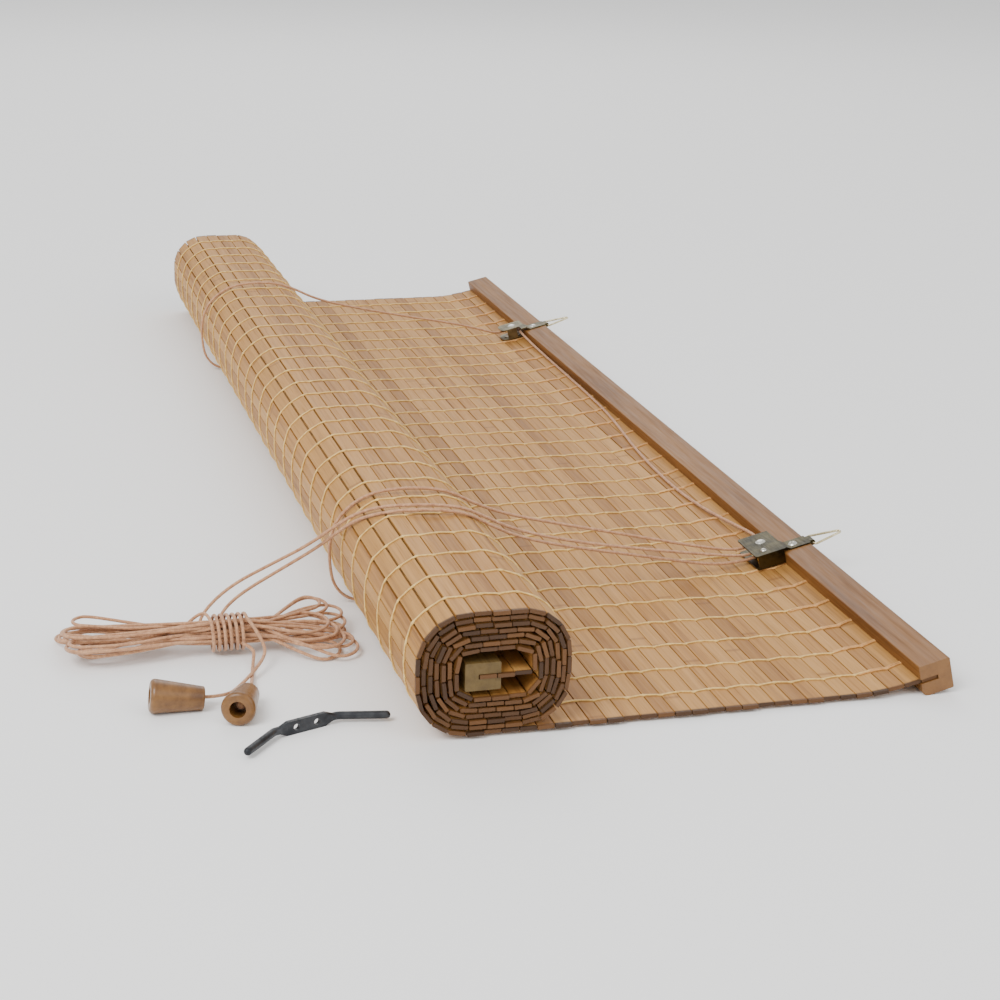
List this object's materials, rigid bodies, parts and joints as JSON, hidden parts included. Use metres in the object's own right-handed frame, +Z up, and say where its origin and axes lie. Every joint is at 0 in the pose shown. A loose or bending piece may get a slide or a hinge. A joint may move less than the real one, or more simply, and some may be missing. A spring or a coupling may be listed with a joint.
{
  "type": "bamboo roll up blind",
  "caption": "Bamboo roll-up blind lying mostly rolled: slat mat in a slotted head rail, pulley bracket, cord lock, wire hanging loops, pull cords in a tied hank, wooden tassels, cord cleat.",
  "frame": {"origin": "Middle of the blind's length and of its depth on the floor, measured without the free pull cords and what hangs on them.", "axes": "+Z is up from the floor. +Y runs along the slats and the head rail, from the cord-lock end to the pulley end. +X points from the roll to the head rail."},
  "size_m": [0.5164, 1, 0.0801],
  "materials": {
    "bamboo": "flat strips of bare bamboo, pale honey tan, a little shine",
    "rail_wood": "honey-brown stained wood, satin",
    "bottom_rail_wood": "light olive-brown wood, satin",
    "zinc_steel": "zinc-plated pressed steel, grey green",
    "bronzed_steel": "dark green-brown plated steel with bright yellow edges",
    "rivet_steel": "bright plated steel",
    "brass": "plain brass",
    "wire": "yellow-passivated steel wire",
    "pulley_plastic": "off-white nylon",
    "cord": "braided cord, pinkish beige",
    "tassel_wood": "turned wood, honey brown, varnished",
    "cleat_steel": "dark grey steel"
  },
  "bodies": {
    "blind": {"rolled_slats": "bamboo", "flat_slats": "bamboo", "bottom_rail": "bottom_rail_wood", "head_rail": "rail_wood", "pulley_bracket": "zinc_steel", "guide_pulley_axle": "rivet_steel", "pulley_bracket_screw": "rivet_steel", "cord_lock_housing": "bronzed_steel", "lock_pulley_axle": "rivet_steel", "lock_cam_pin": "rivet_steel", "cord_lock_screw": "rivet_steel", "pull_cord_a": "cord", "pull_cord_b": "cord", "tail_1": "cord", "tail_2": "cord", "cord_hank": "cord", "tassel_1": "tassel_wood", "tassel_2": "tassel_wood", "knot_1": "cord", "knot_2": "cord", "cord_cleat": "cleat_steel"},
    "guide_pulley": {"guide_pulley": "pulley_plastic"},
    "lock_pulley": {"lock_pulley": "brass"},
    "lock_cam": {"lock_cam": "brass"},
    "pulley_end_loop": {"pulley_bracket_hanger_loop": "wire"},
    "lock_end_loop": {"cord_lock_hanger_loop": "wire"}
  },
  "joints": [
    {"name": "guide_pulley_spin", "type": "hinge", "parent": "blind", "child": "guide_pulley", "pos_m": [0.1654, 0.311, 0.01456], "axis": [-0.2419, 0, 0.9703], "continuous": true},
    {"name": "lock_pulley_spin", "type": "hinge", "parent": "blind", "child": "lock_pulley", "pos_m": [0.1654, -0.287, 0.01456], "axis": [-0.2419, 0, 0.9703], "continuous": true},
    {"name": "lock_cam_pivot", "type": "hinge", "parent": "blind", "child": "lock_cam", "pos_m": [0.162, -0.3006, 0.01371], "axis": [-0.2419, 0, 0.9703], "range_deg": [-50, 15]},
    {"name": "pulley_end_loop_swing", "type": "hinge", "parent": "blind", "child": "pulley_end_loop", "pos_m": [0.19453, 0.3, 0.02254], "axis": [0, 1, 0], "range_deg": [-110, 70]},
    {"name": "lock_end_loop_swing", "type": "hinge", "parent": "blind", "child": "lock_end_loop", "pos_m": [0.19453, -0.2995, 0.02254], "axis": [0, 1, 0], "range_deg": [-110, 70]}
  ]
}
